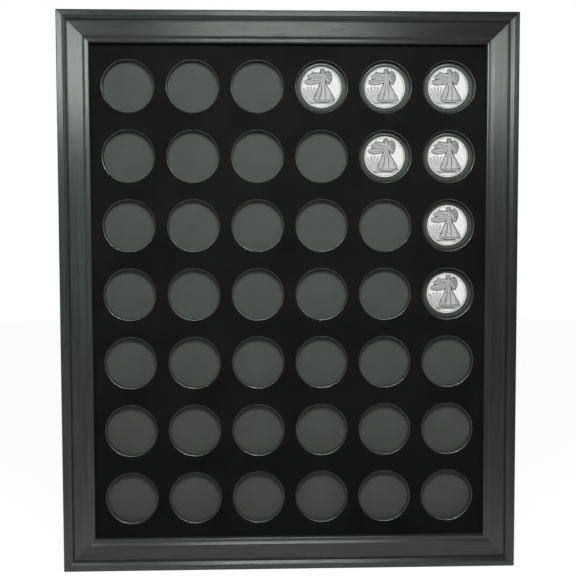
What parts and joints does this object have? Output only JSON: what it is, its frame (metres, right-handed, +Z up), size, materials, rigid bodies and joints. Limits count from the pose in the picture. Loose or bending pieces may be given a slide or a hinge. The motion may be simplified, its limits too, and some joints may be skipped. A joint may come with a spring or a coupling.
{
  "type": "coin display frame",
  "caption": "Wall-hung wooden frame with a black board of round pockets behind glass, some holding silver coins in clear capsules, and turn buttons and ring hangers on the back.",
  "frame": {"origin": "centre of the flat back of the frame, in the plane that faces the wall", "axes": "+X to the right seen from the front, +Y out of the back towards the wall, +Z up"},
  "size_m": [0.4498, 0.0336, 0.5498],
  "materials": {
    "moulding": "fine-grained charcoal stain with a satin sheen along the grain",
    "glazing": "clear picture glass",
    "insert_flock": "dead matte black flock on a board",
    "floor_card": "plain grey card",
    "hardboard": "smooth brown hardboard",
    "coin_silver": "proof silver: mirror field and frosted relief",
    "capsule_plastic": "clear moulded acrylic",
    "zinc_steel": "bright zinc plate",
    "fastener_steel": "plain spring steel",
    "bumper_rubber": "soft matte black"
  },
  "bodies": {
    "frame": {"top_rail": "moulding", "bottom_rail": "moulding", "left_stile": "moulding", "right_stile": "moulding", "front_glass": "glazing", "pocket_insert": "insert_flock", "pocket_floor_board": "floor_card", "back_panel": "hardboard", "capsule_lid_row1_col4": "capsule_plastic", "coin_row1_col4": "coin_silver", "capsule_base_row1_col4": "capsule_plastic", "capsule_lid_row1_col5": "capsule_plastic", "coin_row1_col5": "coin_silver", "capsule_base_row1_col5": "capsule_plastic", "capsule_lid_row1_col6": "capsule_plastic", "coin_row1_col6": "coin_silver", "capsule_base_row1_col6": "capsule_plastic", "capsule_lid_row2_col5": "capsule_plastic", "coin_row2_col5": "coin_silver", "capsule_base_row2_col5": "capsule_plastic", "capsule_lid_row2_col6": "capsule_plastic", "coin_row2_col6": "coin_silver", "capsule_base_row2_col6": "capsule_plastic", "capsule_lid_row3_col6": "capsule_plastic", "coin_row3_col6": "coin_silver", "capsule_base_row3_col6": "capsule_plastic", "capsule_lid_row4_col6": "capsule_plastic", "coin_row4_col6": "coin_silver", "capsule_base_row4_col6": "capsule_plastic", "button_screw_top_left": "zinc_steel", "button_screw_top_right": "zinc_steel", "button_screw_bottom_left": "zinc_steel", "button_screw_bottom_right": "zinc_steel", "button_screw_left_upper": "zinc_steel", "button_screw_left_lower": "zinc_steel", "button_screw_right_upper": "zinc_steel", "button_screw_right_lower": "zinc_steel", "hanger_strap_left": "zinc_steel", "hanger_screw_left": "zinc_steel", "wall_bumper_left": "bumper_rubber", "corner_fastener_top_left": "fastener_steel", "corner_fastener_bottom_left": "fastener_steel", "hanger_strap_right": "zinc_steel", "hanger_screw_right": "zinc_steel", "wall_bumper_right": "bumper_rubber", "corner_fastener_top_right": "fastener_steel", "corner_fastener_bottom_right": "fastener_steel"},
    "button_top_left": {"turn_button_top_left": "zinc_steel"},
    "button_top_right": {"turn_button_top_right": "zinc_steel"},
    "button_bottom_left": {"turn_button_bottom_left": "zinc_steel"},
    "button_bottom_right": {"turn_button_bottom_right": "zinc_steel"},
    "button_left_upper": {"turn_button_left_upper": "zinc_steel"},
    "button_left_lower": {"turn_button_left_lower": "zinc_steel"},
    "button_right_upper": {"turn_button_right_upper": "zinc_steel"},
    "button_right_lower": {"turn_button_right_lower": "zinc_steel"},
    "ring_left": {"hanger_ring_left": "zinc_steel"},
    "ring_right": {"hanger_ring_right": "zinc_steel"}
  },
  "joints": [
    {"name": "button_pivot_top_left", "type": "hinge", "parent": "frame", "child": "button_top_left", "pos_m": [-0.11, 0.0007, 0.26175], "axis": [0, 1, 0], "continuous": true},
    {"name": "button_pivot_top_right", "type": "hinge", "parent": "frame", "child": "button_top_right", "pos_m": [0.11, 0.0007, 0.26175], "axis": [0, 1, 0], "continuous": true},
    {"name": "button_pivot_bottom_left", "type": "hinge", "parent": "frame", "child": "button_bottom_left", "pos_m": [-0.11, 0.0007, -0.26175], "axis": [0, 1, 0], "continuous": true},
    {"name": "button_pivot_bottom_right", "type": "hinge", "parent": "frame", "child": "button_bottom_right", "pos_m": [0.11, 0.0007, -0.26175], "axis": [0, 1, 0], "continuous": true},
    {"name": "button_pivot_left_upper", "type": "hinge", "parent": "frame", "child": "button_left_upper", "pos_m": [-0.2117, 0.0007, 0.16], "axis": [0, 1, 0], "continuous": true},
    {"name": "button_pivot_left_lower", "type": "hinge", "parent": "frame", "child": "button_left_lower", "pos_m": [-0.2117, 0.0007, -0.16], "axis": [0, 1, 0], "continuous": true},
    {"name": "button_pivot_right_upper", "type": "hinge", "parent": "frame", "child": "button_right_upper", "pos_m": [0.2117, 0.0007, 0.16], "axis": [0, 1, 0], "continuous": true},
    {"name": "button_pivot_right_lower", "type": "hinge", "parent": "frame", "child": "button_right_lower", "pos_m": [0.2117, 0.0007, -0.16], "axis": [0, 1, 0], "continuous": true},
    {"name": "ring_hinge_left", "type": "hinge", "parent": "frame", "child": "ring_left", "pos_m": [-0.2144, 0.0029, 0.1], "axis": [1, 0, 0], "range_deg": [0, 180]},
    {"name": "ring_hinge_right", "type": "hinge", "parent": "frame", "child": "ring_right", "pos_m": [0.2144, 0.0029, 0.1], "axis": [1, 0, 0], "range_deg": [0, 180]}
  ]
}
